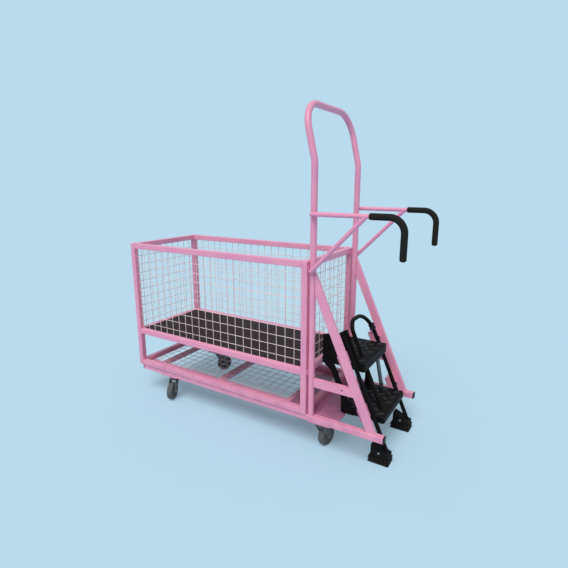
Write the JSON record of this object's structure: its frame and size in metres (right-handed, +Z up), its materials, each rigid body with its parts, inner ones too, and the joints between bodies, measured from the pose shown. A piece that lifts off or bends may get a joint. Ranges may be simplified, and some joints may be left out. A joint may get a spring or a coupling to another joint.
{
  "type": "order picking trolley",
  "caption": "Long wire-mesh picking trolley on swivel casters with a tall push hoop, side hand grips and a two-tread step ladder that slides in guides at one end.",
  "frame": {"origin": "middle of the bounding box on the floor", "axes": "+X along the trolley towards the step ladder, +Y to the right of a person who pushes it, +Z up"},
  "size_m": [1.601, 0.5942, 1.6108],
  "materials": {
    "pink_paint": "satin, worn at the edges",
    "wire_paint": "satin",
    "floor_board": "dark film-faced board",
    "zinc_steel": "zinc plated",
    "caster_steel": "dull, dark with use",
    "wheel_tread": "matt",
    "wheel_hub": "matt",
    "black_plastic": "matt",
    "grip_rubber": "soft matt",
    "foot_rubber": "matt",
    "black_paint": "satin",
    "strut_steel": "satin"
  },
  "bodies": {
    "frame": {"base_cross_members": "pink_paint", "basket_floor": "floor_board", "cage_bottom_rails": "pink_paint", "cage_mid_rails": "pink_paint", "cage_posts": "pink_paint", "cage_tie_pads": "pink_paint", "cage_top_rails": "pink_paint", "caster_bolts": "caster_steel", "caster_mount_plates": "pink_paint", "caster_top_plates": "caster_steel", "deck_mesh": "wire_paint", "deck_side_flats": "pink_paint", "floor_bearers": "pink_paint", "front_end_mesh": "wire_paint", "handle_braces": "pink_paint", "handle_grips": "grip_rubber", "handle_tubes": "pink_paint", "ladder_lugs": "pink_paint", "left_base_rail": "pink_paint", "left_diagonal": "pink_paint", "left_side_mesh": "wire_paint", "left_tie_bar": "pink_paint", "push_hoop": "pink_paint", "rail_end_caps": "black_plastic", "rear_deck_plate": "pink_paint", "rear_end_mesh": "wire_paint", "right_base_rail": "pink_paint", "right_diagonal": "pink_paint", "right_side_mesh": "wire_paint", "right_tie_bar": "pink_paint"},
    "ladder": {"foot_bolts": "zinc_steel", "guide_bolts": "black_paint", "ladder_collars": "black_plastic", "ladder_frame": "black_paint", "ladder_strut": "strut_steel", "left_foot": "foot_rubber", "link_bolts": "black_paint", "lower_tread": "black_paint", "right_foot": "foot_rubber", "tread_links": "black_paint", "upper_tread": "black_paint"},
    "front_left_swivel": {"front_left_fork": "caster_steel"},
    "front_left_wheel": {"front_left_tyre": "wheel_tread", "front_left_wheel_hub": "wheel_hub"},
    "front_right_swivel": {"front_right_fork": "caster_steel"},
    "front_right_wheel": {"front_right_tyre": "wheel_tread", "front_right_wheel_hub": "wheel_hub"},
    "rear_left_swivel": {"rear_left_fork": "caster_steel"},
    "rear_left_wheel": {"rear_left_tyre": "wheel_tread", "rear_left_wheel_hub": "wheel_hub"},
    "rear_right_swivel": {"rear_right_fork": "caster_steel"},
    "rear_right_wheel": {"rear_right_tyre": "wheel_tread", "rear_right_wheel_hub": "wheel_hub"}
  },
  "joints": [
    {"name": "ladder_lift", "type": "slide", "parent": "frame", "child": "ladder", "axis": [-0.4067, 0, 0.9135], "range_m": [0, 0.025]},
    {"name": "front_left_turn", "type": "hinge", "parent": "frame", "child": "front_left_swivel", "pos_m": [-0.5635, -0.212, 0.139], "axis": [0, 0, 1], "continuous": true},
    {"name": "front_left_roll", "type": "hinge", "parent": "front_left_swivel", "child": "front_left_wheel", "pos_m": [-0.55096, -0.24468, 0.05], "axis": [0.9336, 0.3584, 0], "continuous": true},
    {"name": "front_right_turn", "type": "hinge", "parent": "frame", "child": "front_right_swivel", "pos_m": [-0.5635, 0.212, 0.139], "axis": [0, 0, 1], "continuous": true},
    {"name": "front_right_roll", "type": "hinge", "parent": "front_right_swivel", "child": "front_right_wheel", "pos_m": [-0.55096, 0.24468, 0.05], "axis": [-0.9336, 0.3584, 0], "continuous": true},
    {"name": "rear_left_turn", "type": "hinge", "parent": "frame", "child": "rear_left_swivel", "pos_m": [0.4305, -0.212, 0.139], "axis": [0, 0, 1], "continuous": true},
    {"name": "rear_left_roll", "type": "hinge", "parent": "rear_left_swivel", "child": "rear_left_wheel", "pos_m": [0.43778, -0.17776, 0.05], "axis": [-0.9781, 0.2079, 0], "continuous": true},
    {"name": "rear_right_turn", "type": "hinge", "parent": "frame", "child": "rear_right_swivel", "pos_m": [0.4305, 0.212, 0.139], "axis": [0, 0, 1], "continuous": true},
    {"name": "rear_right_roll", "type": "hinge", "parent": "rear_right_swivel", "child": "rear_right_wheel", "pos_m": [0.43778, 0.17776, 0.05], "axis": [0.9781, 0.2079, 0], "continuous": true}
  ]
}
